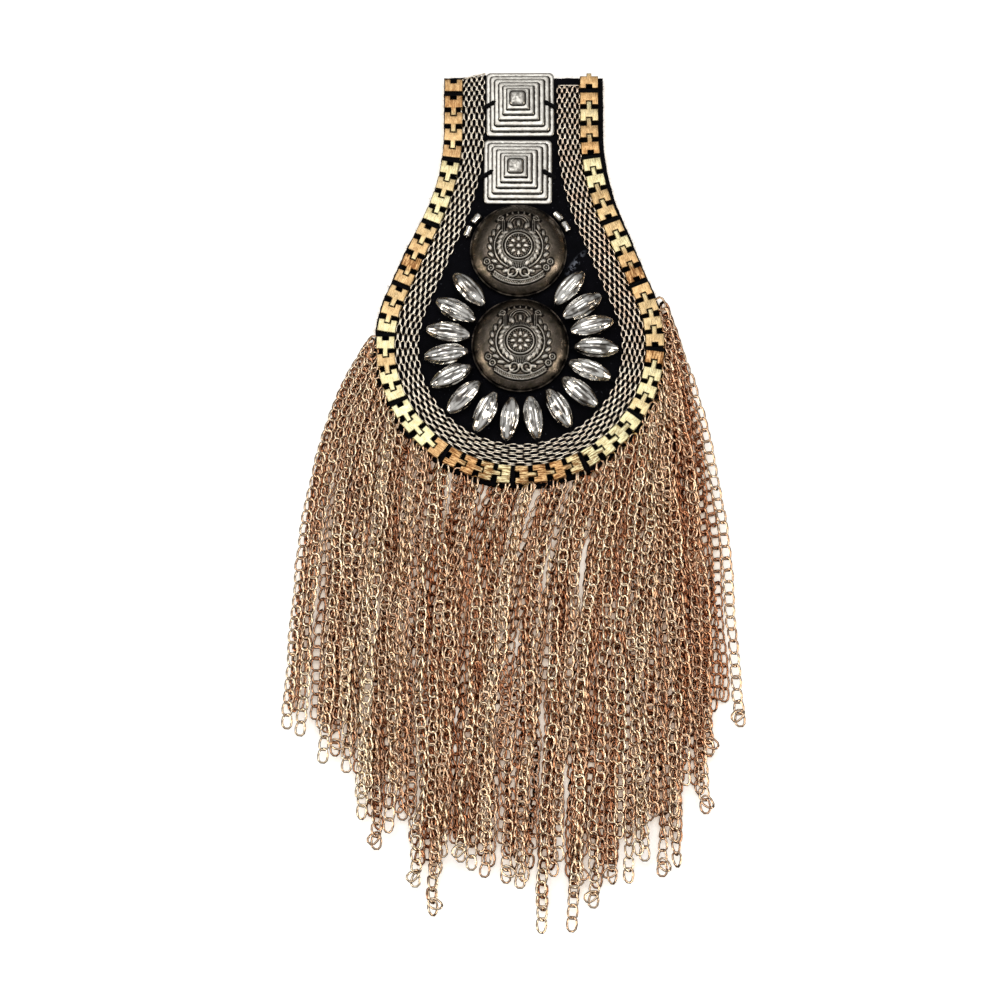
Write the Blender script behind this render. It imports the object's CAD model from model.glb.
import bpy
import numpy as np
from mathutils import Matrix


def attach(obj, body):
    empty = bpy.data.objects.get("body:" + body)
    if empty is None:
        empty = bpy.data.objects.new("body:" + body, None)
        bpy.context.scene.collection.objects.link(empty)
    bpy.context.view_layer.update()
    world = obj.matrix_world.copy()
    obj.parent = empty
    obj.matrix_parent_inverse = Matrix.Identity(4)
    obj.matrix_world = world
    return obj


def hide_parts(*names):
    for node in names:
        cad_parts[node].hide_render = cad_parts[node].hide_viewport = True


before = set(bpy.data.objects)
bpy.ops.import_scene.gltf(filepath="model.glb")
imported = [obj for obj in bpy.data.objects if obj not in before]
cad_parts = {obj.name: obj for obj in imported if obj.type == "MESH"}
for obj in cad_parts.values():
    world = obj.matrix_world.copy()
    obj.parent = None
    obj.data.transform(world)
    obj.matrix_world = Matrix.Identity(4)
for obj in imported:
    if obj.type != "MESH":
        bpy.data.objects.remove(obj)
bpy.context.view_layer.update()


# The bench: a white card, a wide soft lamp overhead, a low warm one on each side, a dim room, and
# a camera 800 mm away that looks down from the fringe's end, 15 degrees off straight down. The card
# is tinted warm where the chains stand close over it, as gilt chains tint what they lie on.
def add_node(tree, kind, inputs=None, **settings):
    """One shader node: its settings, then each input by name or number, as a value or a socket."""
    node = tree.nodes.new(kind)
    for name, value in settings.items():
        setattr(node, name, value)
    for name, value in (inputs or {}).items():
        if isinstance(value, bpy.types.NodeSocket):
            tree.links.new(value, node.inputs[name])
        else:
            node.inputs[name].default_value = value
    return node


def new_finish(label, plain_values):
    """A material with one Principled surface whose plain values stand on its own sockets."""
    finish = bpy.data.materials.new(label)
    finish.use_nodes = True
    surface = finish.node_tree.nodes["Principled BSDF"]
    for name, value in plain_values.items():
        surface.inputs[name].default_value = value
    return finish, finish.node_tree, surface


def feed(node, name, socket):
    """Joins a socket to a node's input of that name."""
    node.id_data.links.new(socket, node.inputs[name])


def mixed(tree, share, low, high, blend="MIX"):
    """The colour at a share of the way from low to high, each given as three numbers or as a socket."""
    sides = [side if isinstance(side, bpy.types.NodeSocket) else (*side, 1) for side in (low, high)]
    inputs = {0: share, 6: sides[0], 7: sides[1]}
    return add_node(tree, "ShaderNodeMix", inputs, data_type="RGBA", blend_type=blend).outputs[2]


def ranged(tree, value, old, new=(0.0, 1.0)):
    """A value moved from its old range to a new one, and held inside it."""
    inputs = {0: value, 1: old[0], 2: old[1], 3: new[0], 4: new[1]}
    return add_node(tree, "ShaderNodeMapRange", inputs).outputs[0]


def worked(tree, operation, *values, clamp=False):
    """The result of one sum on values and sockets."""
    inputs = dict(enumerate(values))
    return add_node(tree, "ShaderNodeMath", inputs, operation=operation, use_clamp=clamp).outputs[0]


def noise_in(tree, place, scale, detail, roughness=0.5):
    """Soft noise at a place, or over the object's own box where no place is given."""
    inputs = {"Scale": scale, "Detail": detail, "Roughness": roughness}
    if place is not None:
        inputs["Vector"] = place
    return add_node(tree, "ShaderNodeTexNoise", inputs).outputs["Fac"]


def new_object(label, data, place=(0, 0, 0), turn=(0, 0, 0)):
    """An object in the scene, with its place in metres and its turns in degrees."""
    thing = bpy.data.objects.new(label, data)
    thing.location = place
    thing.rotation_euler = np.radians(turn)
    bpy.context.scene.collection.objects.link(thing)
    return thing


def new_lamp(label, size, energy, color, place, turn=(0, 0, 0)):
    """A flat lamp that shines down until it is turned."""
    lamp_data = bpy.data.lights.new(label, "AREA")
    lamp_data.size = size
    lamp_data.energy = energy
    lamp_data.color = color
    new_object(label, lamp_data, place, turn)
    return lamp_data


camera_data = bpy.data.cameras.new("camera")
camera_data.sensor_width = 36.0
camera_data.lens = 115.08
camera_data.clip_start = 0.05
camera = new_object("camera", camera_data, (-0.00497, -0.2466, 0.7727), (15.0, 0.0, 0.0))
bpy.context.scene.camera = camera
bpy.context.scene.view_settings.view_transform = "Standard"

card_finish, card_tree, card_surface = new_finish("white_card", {"Roughness": 0.9, "Specular IOR Level": 0.1})
card_tone = mixed(card_tree, noise_in(card_tree, None, 900.0, 3.0), (0.88, 0.88, 0.88), (0.92, 0.92, 0.92))
card_sight = add_node(card_tree, "ShaderNodeLightPath")
card_seen = mixed(card_tree, card_sight.outputs["Is Glossy Ray"], card_tone, (0.10, 0.085, 0.07))
card_open = add_node(card_tree, "ShaderNodeAmbientOcclusion", {"Distance": 0.006}, samples=4)
card_deep = ranged(card_tree, card_open.outputs["AO"], (0.02, 0.17))
card_clear = ranged(card_tree, card_open.outputs["AO"], (0.30, 0.52))
card_between = mixed(card_tree, card_deep, (0.30, 0.12, 0.055), (1.0, 0.86, 0.68))
card_light = mixed(card_tree, card_clear, card_between, (1, 0.97, 0.94))
card_warm = mixed(card_tree, 1.0, card_seen, card_light, "MULTIPLY")
feed(card_surface, "Base Color", card_warm)
feed(card_surface, "Emission Color", card_light)
card_glow = worked(card_tree, "MULTIPLY", card_sight.outputs["Is Camera Ray"], 0.60)
feed(card_surface, "Emission Strength", card_glow)
card_mesh = bpy.data.meshes.new("white_card")
card_corners = [(-2, -2, -0.0001), (2, -2, -0.0001), (2, 2, -0.0001), (-2, 2, -0.0001)]
card_mesh.from_pydata(card_corners, [], [(0, 1, 2, 3)])
card_mesh.materials.append(card_finish)
card = new_object("white_card", card_mesh)

soft_lamp = new_lamp("soft_lamp", 0.8, 3.2, (1.0, 0.98, 0.95), (-0.08, 0.30, 1.1))
soft_lamp.shape = "DISK"
for side in (-1, 1):
    glow_place = (side * 1.02, -0.25, 0.45)
    new_lamp("low_glow", 0.42, 4.2, (1.0, 0.90, 0.76), glow_place, (66.8, 0.0, side * 76.2))

room = bpy.data.worlds.new("dim_room")
room.use_nodes = True
room_tree = room.node_tree
room_way = add_node(room_tree, "ShaderNodeTexCoord")
room_height = add_node(room_tree, "ShaderNodeSeparateXYZ", {0: room_way.outputs["Generated"]})
room_fall = ranged(room_tree, room_height.outputs["Z"], (0.05, 0.8), (0.03, 0.52))
room_back = room_tree.nodes["Background"]
room_back.inputs["Color"].default_value = (1.0, 0.985, 0.96, 1)
feed(room_back, "Strength", room_fall)
bpy.context.scene.world = room


# Felt backing: one layer of black felt, cut to a round bulb that draws in to a straight neck.
# Everything is sewn or glued to its face, and its cut edge is left raw, with loose fibres.
bulb_radius = 37.0
neck_width = 41.6
neck_shift = 0.3
neck_top = 73.0
shoulder_height = 46.4
shoulder_radius = 60.0
felt_thickness = 2.4


def lengths_along(line):
    """The length so far at each point of a line."""
    return np.append(0, np.cumsum(np.linalg.norm(np.diff(line, axis=0), axis=1)))


def place_along(reach, travel, line):
    """Each coordinate at a distance along a line of points or headings, from the lengths so far."""
    return np.array([np.interp(reach, travel, column) for column in line.T])


def outline_path(margin, left_top, right_top, places):
    """Places at equal steps along the felt's outline drawn in by margin, their headings and lengths so far.

    The line runs straight down the left of the neck, round a hollow corner, straight to the bulb,
    round it by the lower side, and up the right side in the same way.
    """
    side_lines = []
    bulb_angles = []
    for side, top in ((-1, left_top), (1, right_top)):
        corner_x = neck_width / 2 + side * neck_shift
        reach = np.hypot(corner_x, shoulder_height)
        flank = np.arctan2(shoulder_height, corner_x) - np.arccos(bulb_radius / reach)
        turn = np.linspace(0, flank, 41)
        neck_x = neck_shift + side * (neck_width / 2 - margin)
        bend = shoulder_radius + margin
        bend_y = shoulder_height + shoulder_radius * np.tan(flank / 2)
        bent = np.stack([neck_x + side * bend * (1 - np.cos(turn)), bend_y - bend * np.sin(turn)], 1)
        side_lines.append(np.vstack([[neck_x, top], bent]))
        bulb_angles.append(np.pi - flank if side < 0 else 2 * np.pi + flank)
    round_turn = np.linspace(*bulb_angles, 400)
    bulb = (bulb_radius - margin) * np.stack([np.cos(round_turn), np.sin(round_turn)], 1)
    line = np.vstack([side_lines[0], bulb, side_lines[1][::-1]])
    line = line[np.append(True, np.diff(lengths_along(line)) > 1e-6)]
    lengths = lengths_along(line)
    travel = np.linspace(0, lengths[-1], places)
    spots = place_along(travel, lengths, line).T
    headings = np.gradient(spots, travel, axis=0)
    headings /= np.linalg.norm(headings, axis=1, keepdims=True)
    return spots, headings, travel


def neck_nudged(points, left, right):
    """Points moved sideways on the neck, by left at its left edge and by right at its right edge."""
    share = np.clip((points[..., 1] - 20.0) / 26.0, 0, 1)
    moved = np.array(points, float)
    moved[..., 0] += np.interp(points[..., 0], [-20.0, 20.0], [left, right]) * share**2 * (3 - 2 * share)
    return moved


def grid_faces(rows, columns, round_rows=False, round_columns=False):
    """Corners of the squares between the points of a grid, kept row by row and closed round where asked."""
    row = np.arange(rows if round_rows else rows - 1)[:, None]
    column = np.arange(columns if round_columns else columns - 1)
    next_row = (row + 1) % rows
    next_column = (column + 1) % columns
    corners = ((row, column), (row, next_column), (next_row, next_column), (next_row, column))
    return np.stack([up * columns + along for up, along in corners], -1).reshape(-1, 4)


def repeated(faces, bodies, points):
    """A body's faces once for each of a row of like bodies, whose points follow on from each other."""
    return ((np.arange(bodies) * points)[:, None, None] + faces).reshape(-1, faces.shape[1])


def shell_faces(rings, columns):
    """Corners of a closed skin: an under pole, rings that run anticlockwise from above, and a top pole."""
    step = np.arange(columns)
    after = (step + 1) % columns
    squares = 1 + grid_faces(rings, columns, round_columns=True)
    under = np.stack([0 * step, 1 + after, 1 + step], 1)
    last = 1 + (rings - 1) * columns
    top = np.stack([last + step, last + after, 0 * step + 1 + rings * columns], 1)
    return [squares, under, top]


def add_piece(label, points, face_sets, finish, marks=None, crease=None):
    """A piece from points in millimetres, sets of faces of one corner count each, and marks by point."""
    loops = np.concatenate([faces.ravel() for faces in face_sets]).astype(np.int32)
    counts = np.concatenate([np.full(len(faces), faces.shape[1]) for faces in face_sets])
    mesh = bpy.data.meshes.new(label)
    mesh.vertices.add(len(points))
    mesh.vertices.foreach_set("co", (0.001 * points).astype(np.float32).ravel())
    mesh.loops.add(len(loops))
    mesh.loops.foreach_set("vertex_index", loops)
    mesh.polygons.add(len(counts))
    mesh.polygons.foreach_set("loop_start", (np.cumsum(counts) - counts).astype(np.int32))
    mesh.polygons.foreach_set("use_smooth", np.ones(len(counts), bool))
    for name, values in (marks or {}).items():
        kind = "FLOAT" if values.ndim == 1 else "FLOAT_VECTOR"
        mark = mesh.attributes.new(name, kind, "POINT")
        mark.data.foreach_set("value" if values.ndim == 1 else "vector", values.astype(np.float32).ravel())
    mesh.update(calc_edges=True)
    if crease:
        mesh.set_sharp_from_angle(angle=np.radians(crease))
    mesh.materials.append(finish)
    piece = new_object(label, mesh)
    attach(piece, "root")
    return piece


def add_group(label, inputs, outputs):
    """A node group with these inputs and their defaults, and these outputs, with its two end nodes."""
    group = bpy.data.node_groups.new(label, "ShaderNodeTree")
    for name, default in inputs.items():
        kind = "NodeSocketColor" if isinstance(default, tuple) else "NodeSocketFloat"
        group.interface.new_socket(name, in_out="INPUT", socket_type=kind).default_value = default
    for name, kind in outputs.items():
        group.interface.new_socket(name, in_out="OUTPUT", socket_type=kind)
    return group, group.nodes.new("NodeGroupInput"), group.nodes.new("NodeGroupOutput")


# mottle: soft clouds on Object coordinates, between two colours. Size is in millimetres.
mottle, mottle_in, mottle_out = add_group(
    "mottle",
    {"Size": 1.0, "Contrast": 1.0, "Dark": (0, 0, 0, 1), "Light": (1, 1, 1, 1)},
    {"Color": "NodeSocketColor", "Mask": "NodeSocketFloat"},
)
mottle_place = add_node(mottle, "ShaderNodeTexCoord")
mottle_scale = worked(mottle, "DIVIDE", 1000.0, mottle_in.outputs["Size"])
mottle_noise = noise_in(mottle, mottle_place.outputs["Object"], mottle_scale, 4.0, 0.6)
mottle_middle = worked(mottle, "SUBTRACT", mottle_noise, 0.5)
mottle_mask = worked(mottle, "MULTIPLY_ADD", mottle_middle, mottle_in.outputs["Contrast"], 0.5, clamp=True)
mottle_mix = mixed(mottle, mottle_mask, mottle_in.outputs["Dark"], mottle_in.outputs["Light"])
feed(mottle_out, "Color", mottle_mix)
feed(mottle_out, "Mask", mottle_mask)

# specks: small bright dots where fine noise passes a threshold. Size is in millimetres.
specks, specks_in, specks_out = add_group(
    "specks", {"Size": 0.3, "Threshold": 0.65}, {"Mask": "NodeSocketFloat"}
)
specks_place = add_node(specks, "ShaderNodeTexCoord")
specks_scale = worked(specks, "DIVIDE", 1000.0, specks_in.outputs["Size"])
specks_noise = noise_in(specks, specks_place.outputs["Object"], specks_scale, 2.0)
specks_end = worked(specks, "ADD", specks_in.outputs["Threshold"], 0.06)
specks_mask = ranged(specks, specks_noise, (specks_in.outputs["Threshold"], specks_end))
feed(specks_out, "Mask", specks_mask)


def add_mottle(tree, size, contrast, dark=(0, 0, 0), light=(1, 1, 1)):
    """The mottle group in a material, with its own size, contrast and two colours."""
    inputs = {"Size": size, "Contrast": contrast, "Dark": (*dark, 1), "Light": (*light, 1)}
    return add_node(tree, "ShaderNodeGroup", inputs, node_tree=mottle)


def add_specks(tree, size, threshold):
    """The mask of the specks group in a material, with its own size and threshold."""
    inputs = {"Size": size, "Threshold": threshold}
    return add_node(tree, "ShaderNodeGroup", inputs, node_tree=specks).outputs["Mask"]


def bump_up(surface, height, strength, distance):
    """Bump on a surface, from a height between 0 and 1 over a distance in metres."""
    inputs = {"Height": height, "Strength": strength, "Distance": distance}
    bump = add_node(surface.id_data, "ShaderNodeBump", inputs)
    feed(surface, "Normal", bump.outputs[0])


felt_finish, felt_tree, felt_surface = new_finish(
    "black_felt",
    {"Roughness": 0.95, "Specular IOR Level": 0.05, "Sheen Weight": 0.02, "Sheen Roughness": 0.5},
)
felt_tone = add_mottle(felt_tree, 5.0, 1.6, (0.0015, 0.0015, 0.0022), (0.005, 0.005, 0.008))
felt_lint = add_specks(felt_tree, 0.55, 0.70)
# A smear of glue and lint runs aslant beside the upper button.
smear_place = add_node(felt_tree, "ShaderNodeTexCoord")
smear_fit = add_node(
    felt_tree,
    "ShaderNodeMapping",
    {
        0: smear_place.outputs["Object"],
        "Location": (0.0141, 0.0223, 0.0024),
        "Rotation": (0.0, 0.0, np.radians(53.0)),
        "Scale": (0.0046, 0.0011, 0.004),
    },
    vector_type="TEXTURE",
)
smear_shape = add_node(
    felt_tree, "ShaderNodeTexGradient", {0: smear_fit.outputs[0]}, gradient_type="SPHERICAL"
)
smear_break = add_specks(felt_tree, 0.9, 0.47)
smear_mask = worked(felt_tree, "MULTIPLY", smear_shape.outputs["Fac"], smear_break)
felt_light = worked(felt_tree, "MULTIPLY", felt_lint, 0.25)
felt_marks = worked(felt_tree, "MAXIMUM", smear_mask, felt_light)
felt_color = mixed(felt_tree, felt_marks, felt_tone.outputs["Color"], (0.22, 0.24, 0.30))
feed(felt_surface, "Base Color", felt_color)
felt_grain = add_mottle(felt_tree, 0.22, 1.5)
bump_up(felt_surface, felt_grain.outputs["Mask"], 0.7, 0.0003)

felt_edge = (
    # (drawn in from the outline, height)
    (0.3, 0.0), (0.08, 0.08), (0.0, 0.3), (0.0, 1.2), (0.0, 1.9), (0.15, 2.25), (0.5, felt_thickness),
)  # fmt: skip
felt_columns = 600
felt_top_columns = 60
felt_rows = []
for margin, height in felt_edge:
    rim, _, _ = outline_path(margin, neck_top - margin, neck_top - margin, felt_columns - felt_top_columns)
    across = np.linspace(rim[-1], rim[0], felt_top_columns + 2)[1:-1]
    ring = np.vstack([rim, across])
    felt_rows.append(np.column_stack([ring, np.full(felt_columns, height)]))
felt_random = np.random.default_rng(11)
felt_round = np.arange(felt_columns) / felt_columns
wander = sum(
    size * np.sin(2 * np.pi * (turns * felt_round + felt_random.random()))
    for turns, size in ((7, 0.06), (17, 0.05), (41, 0.05), (97, 0.04), (151, 0.03))
)
felt_rows = np.array(felt_rows)
top_rise = np.interp(felt_rows[..., 0], [-16.5, -9.5, -8.0], [0, 0.9, 0])
felt_rows[..., 1] += np.where(felt_rows[..., 1] > neck_top - 1, top_rise, 0)
felt_rows = neck_nudged(felt_rows, 0.95, 0.4)
felt_out = felt_rows[2, :, :2] / np.linalg.norm(felt_rows[2, :, :2], axis=1, keepdims=True)
felt_rows[:, :, :2] += (wander - 0.1)[None, :, None] * felt_out[None]
felt_middle = np.array([0.0, 12.0])
inward = np.linspace(0.97, 0.03, 18)[:, None, None]
face_rim = felt_rows[-1][None, :, :2]
face_spots = felt_middle + inward * (face_rim - felt_middle)
swell = 0.04 * np.sin(face_spots[..., :1] * 0.7 + 1.0) * np.cos(face_spots[..., 1:] * 0.55)
felt_face = np.concatenate([face_spots, felt_thickness - 0.04 + swell], -1)
felt_skin = np.concatenate([felt_rows, felt_face]).reshape(-1, 3)
felt_points = np.vstack([[[*felt_middle, 0.0]], felt_skin, [[*felt_middle, felt_thickness]]])
felt_faces = shell_faces(len(felt_rows) + len(inward), felt_columns)
felt = add_piece("felt_backing_cloth", felt_points, felt_faces, felt_finish)
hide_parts("felt_backing")


def square_to(ahead):
    """Two directions square to each heading: a level one, and one square to both."""
    across = np.cross(ahead, [0.0, 0.0, 1.0])
    across = across / np.maximum(np.linalg.norm(across, axis=-1, keepdims=True), 1e-9)
    return across, np.cross(across, ahead)


def thread_skin(middles, radius_across, radius_up, sides, closed=False):
    """The skins of a batch of wires, given as rows of middles along each.

    Round each middle lie points at its side step times the cosine plus its up step times the sine
    of the turn. The side step is level and square to the wire's heading, the up step square to both.
    """
    if closed:
        ahead = np.roll(middles, -1, axis=-2) - np.roll(middles, 1, axis=-2)
    else:
        ahead = np.gradient(middles, axis=-2)
    ahead = ahead / np.linalg.norm(ahead, axis=-1, keepdims=True)
    across, upward = square_to(ahead)
    turn = -2 * np.pi * np.arange(sides) / sides
    wide = np.asarray(radius_across)[..., None, None]
    high = np.asarray(radius_up)[..., None, None]
    across_part = across[..., None, :] * np.cos(turn)[:, None] * wide
    up_part = upward[..., None, :] * np.sin(turn)[:, None] * high
    return middles[..., None, :] + across_part + up_part


def thread_faces(wires, places, sides, closed=False):
    """Corners of the skins of that many wires, with a flat end to each unless they are closed rings."""
    face_sets = [grid_faces(places, sides, round_rows=closed, round_columns=True)]
    if not closed:
        tail = np.arange(sides)[::-1]
        head = (places - 1) * sides + np.arange(sides)
        face_sets.append(np.stack([tail, head]))
    return [repeated(faces, wires, places * sides) for faces in face_sets]


# Loose fibres stand out of the felt's cut edge and face, each a bent hair that thins to its end.
fibre_count = 2300
fibre_random = np.random.default_rng(12)
fibre_column = fibre_random.integers(0, felt_columns, fibre_count)
fibre_face = fibre_random.random(fibre_count) < 0.45
fibre_in = np.where(fibre_face, fibre_random.uniform(0.02, 0.9, fibre_count), 0.0)
fibre_rim = felt_rows[3][fibre_column, :2]
fibre_root = fibre_rim + fibre_in[:, None] * (felt_middle - fibre_rim)
fibre_height = np.where(fibre_face, felt_thickness - 0.06, fibre_random.uniform(0.2, 2.3, fibre_count))
fibre_way = fibre_random.normal(0, 1, (fibre_count, 3))
fibre_way[:, :2] += np.where(fibre_face, 0.0, 1.6)[:, None] * felt_out[fibre_column]
fibre_way[:, 2] = np.abs(fibre_way[:, 2]) * np.where(fibre_face, 0.5, 0.3)
fibre_way /= np.linalg.norm(fibre_way, axis=1, keepdims=True)
fibre_bend = fibre_random.normal(0, 0.35, (fibre_count, 3))
fibre_length = fibre_random.uniform(0.25, 0.85, fibre_count)
fibre_share = np.array([0.0, 0.5, 1.0])[None, :, None]
fibre_start = np.column_stack([fibre_root, fibre_height])[:, None]
fibre_line = fibre_start + fibre_length[:, None, None] * (
    fibre_way[:, None] * fibre_share + fibre_bend[:, None] * fibre_share**2
)
fibre_line[..., 2] = np.clip(fibre_line[..., 2], 0.05, None)
fibre_radius = np.array([0.03, 0.022, 0.008])
fibre_points = thread_skin(fibre_line, fibre_radius, fibre_radius, 3).reshape(-1, 3)
felt_fibres = add_piece("felt_fibres", fibre_points, thread_faces(fibre_count, 3, 3), felt_finish)


# Woven mesh band: fine silvered wires run the length of the band and wave from side to side, so
# that each lies against one neighbour and then the other. It is sewn down inside the strap.
band_line_margin = 8.37
band_wires = 9
band_wire_step = 0.665
band_wire_wide = 0.20
band_wire_high = 0.12
band_floor = 2.5
wire_sides = 6


def mark_of(tree, name, output="Fac"):
    """What a mark on a mesh's points holds."""
    return add_node(tree, "ShaderNodeAttribute", attribute_name=name).outputs[output]


band_line, band_heading, band_travel = outline_path(band_line_margin, neck_top + 0.9, neck_top - 2.3, 6001)
band_share = band_travel / band_travel[-1]
cell_share = [0, 0.015, 0.04, 0.22, 0.5, 0.78, 1]
cell_length = np.interp(band_share, cell_share, [2.3, 2.7, 3.62, 3.7, 3.8, 3.3, 2.75])
band_phase = np.append(0, np.cumsum(np.diff(band_travel) / cell_length[1:]))
band_places = int(band_phase[-1] * 11)
phase = np.linspace(0, band_phase[-1], band_places)
travel = np.interp(phase, band_phase, band_travel)
wire_number = np.arange(band_wires)[:, None]
band_random = np.random.default_rng(21)
wire_lag = band_random.normal(0, 0.012, (band_wires, 1))
wire_lag = wire_lag + 0.05 * np.sin(2 * np.pi * (phase / 9.3 + wire_number * 0.13))
saw = 4 * np.abs((phase + wire_lag) % 1 - 0.5) - 1
wave = np.clip(4.5 * saw, -1, 1)
wave = wave * (1.5 - 0.5 * wave**2)
weave_side = np.where(wire_number % 2 == 0, 1, -1)
weave_reach = (band_wire_step - 0.25) / 2
weave_open = np.interp(band_share, [0, 0.40, 0.46, 0.56, 0.62, 1], [1, 1, 0.62, 0.62, 1, 1])
weave_open = np.interp(travel, band_travel, weave_open)
offset = (wire_number - (band_wires - 1) / 2) * band_wire_step + weave_side * weave_reach * weave_open * wave
edge_loop = np.where(wire_number == 0, -0.06, 0) + np.where(wire_number == band_wires - 1, 0.06, 0)
edge_free = np.clip(weave_side * wave * np.sign(edge_loop + 1e-9), 0, 1)
offset = offset + edge_loop * edge_free
band_width_share = 1 + 0.03 * np.sin(2 * np.pi * travel / 61.0 + 0.8)
offset = offset * band_width_share
end_slant = np.clip(1 - travel / 8.0, 0, 1) * 0.27 * (2.9 - offset)
spot_travel = np.clip(travel + end_slant, 0, band_travel[-1])
spot_x, spot_y = place_along(spot_travel, band_travel, band_line)
way_x, way_y = place_along(spot_travel, band_travel, band_heading)
crown = 0.38 * (1 - (offset / 3.1) ** 2)
over = 0.05 * wave * np.where(wire_number % 4 < 2, 1, -1) + 0.30 * np.abs(wave) - 0.26
band_height = band_floor + band_wire_high + 0.05 + crown + over
band_middles = np.stack([spot_x - way_y * offset, spot_y + way_x * offset, band_height + 0 * spot_x], -1)
band_middles = neck_nudged(band_middles, 0.13, -0.27)
band_slim = 0.78 + 0.22 * np.abs(wave)
band_skin = thread_skin(band_middles, band_wire_wide * band_slim, band_wire_high * band_slim, wire_sides)
band_bar = np.repeat(np.abs(wave)[..., None], wire_sides, -1)
wire_copper = np.interp(travel / band_travel[-1], [0, 0.6, 0.75, 1], [0.1, 0.2, 0.8, 0.6])
band_copper = np.repeat(np.broadcast_to(wire_copper, offset.shape)[..., None], wire_sides, -1)
border_ends = band_middles[[0, -1]][:, [1, -2]]
border_places = 9
border_share = np.linspace(-0.03, 1.03, border_places)[:, None]
border_middles = border_ends[0][:, None] * (1 - border_share) + border_ends[1][:, None] * border_share
border_middles[..., 2] = band_floor + 0.62
border_skin = thread_skin(border_middles, 0.17, 0.15, wire_sides)

mesh_finish, mesh_tree, mesh_surface = new_finish("woven_silver_mesh", {"Metallic": 1.0})
mesh_color = add_mottle(mesh_tree, 1.1, 2.2, (0.66, 0.59, 0.47), (1.0, 0.95, 0.84))
mesh_warm = mark_of(mesh_tree, "copper")
mesh_clouds = add_mottle(mesh_tree, 2.6, 3.0)
mesh_warmth = worked(mesh_tree, "MULTIPLY", mesh_warm, mesh_clouds.outputs["Mask"])
mesh_mix = mixed(mesh_tree, mesh_warmth, mesh_color.outputs["Color"], (0.80, 0.54, 0.38))
mesh_bright = ranged(mesh_tree, mark_of(mesh_tree, "bar"), (0.5, 1.0))
mesh_shaded = mixed(mesh_tree, mesh_bright, (0.10, 0.07, 0.05), mesh_mix)
feed(mesh_surface, "Base Color", mesh_shaded)
feed(mesh_surface, "Roughness", ranged(mesh_tree, mesh_color.outputs["Mask"], (0.0, 1.0), (0.30, 0.16)))
border_count = border_skin.size // 3
band_marks = {
    "copper": np.append(band_copper.ravel(), np.full(border_count, 0.2)),
    "bar": np.append(band_bar.ravel(), np.ones(border_count)),
}
band_faces = thread_faces(band_wires, band_places, wire_sides)
border_faces = [band_skin.size // 3 + faces for faces in thread_faces(2, border_places, wire_sides)]
band_points = np.vstack([band_skin.reshape(-1, 3), border_skin.reshape(-1, 3)])
band_sets = [np.vstack(pair) for pair in zip(band_faces, border_faces)]
band = add_piece("mesh_band_wires", band_points, band_sets, mesh_finish, band_marks)
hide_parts("mesh_band")


# Link strap: flat gilt blocks, each with a tongue that lies in the slot of the next, cut into
# runs and sewn round the rim of the felt. Its plating is pale brass here and coppery there.
strap_line_margin = 3.025
block_length = 3.3
block_width = 4.65
block_height = 1.7
block_run_gap = 1.2
block_floor = 2.5
tongue_half = 0.625
tongue_reach = 0.85
slot_half = 0.77
slot_depth = 1.05
block_corners = 12
last_tongue = 0.8
no_tongue = 0.02
run_blocks = (1, 4, 4, 4, 3, 4, 4, 4, 4, 4, 4, 4, 4, 4, 4, 1)
strap_tops = (neck_top - 1.3, neck_top - 0.4)
strap_line, strap_heading, strap_travel = outline_path(strap_line_margin, *strap_tops, 8001)
strap_line = neck_nudged(strap_line, 0.46, -0.27)
block_count = sum(run_blocks)
strap_left_over = strap_travel[-1] - block_count * block_length - (len(run_blocks) - 1) * block_run_gap
tongue_gap = strap_left_over / (block_count - len(run_blocks))


def block_ring(inset, height, tongue_length):
    """One level of a block: its twelve corners drawn in by inset, anticlockwise from the near left."""
    head = block_length / 2 - inset
    side = block_width / 2 - inset
    tip = block_length / 2 + tongue_length - inset
    bed = -block_length / 2 + slot_depth + inset
    tongue = tongue_half - inset
    slot = slot_half + inset
    x = [-head, head, head, tip, tip, head, head, -head, -head, bed, bed, -head]
    y = [-side, -side, -tongue, -tongue, tongue, tongue, side, side, slot, slot, -slot, -slot]
    return np.column_stack([x, y, np.full(block_corners, height)])


block_levels = ((0.12, 0.0), (0.0, 0.12), (0.0, 1.52), (0.03, 1.62), (0.1, 1.68), (0.2, block_height))
block_shapes = {
    reach: np.array([block_ring(inset, height, reach) for inset, height in block_levels])
    for reach in (no_tongue, last_tongue, tongue_gap + tongue_reach)
}
block_points = block_corners * len(block_levels)
block_sides = grid_faces(len(block_levels), block_corners, round_columns=True)
block_ends = np.arange(block_corners) + [[0], [block_points - block_corners]]
block_ends[0] = block_ends[0][::-1]


def turned_to(points, spot, angle):
    """Points turned about the upright axis by an angle in radians, then moved to a spot."""
    x = spot[0] + points[..., 0] * np.cos(angle) - points[..., 1] * np.sin(angle)
    y = spot[1] + points[..., 0] * np.sin(angle) + points[..., 1] * np.cos(angle)
    return np.stack([x, y, spot[2] + points[..., 2]], -1)


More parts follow.
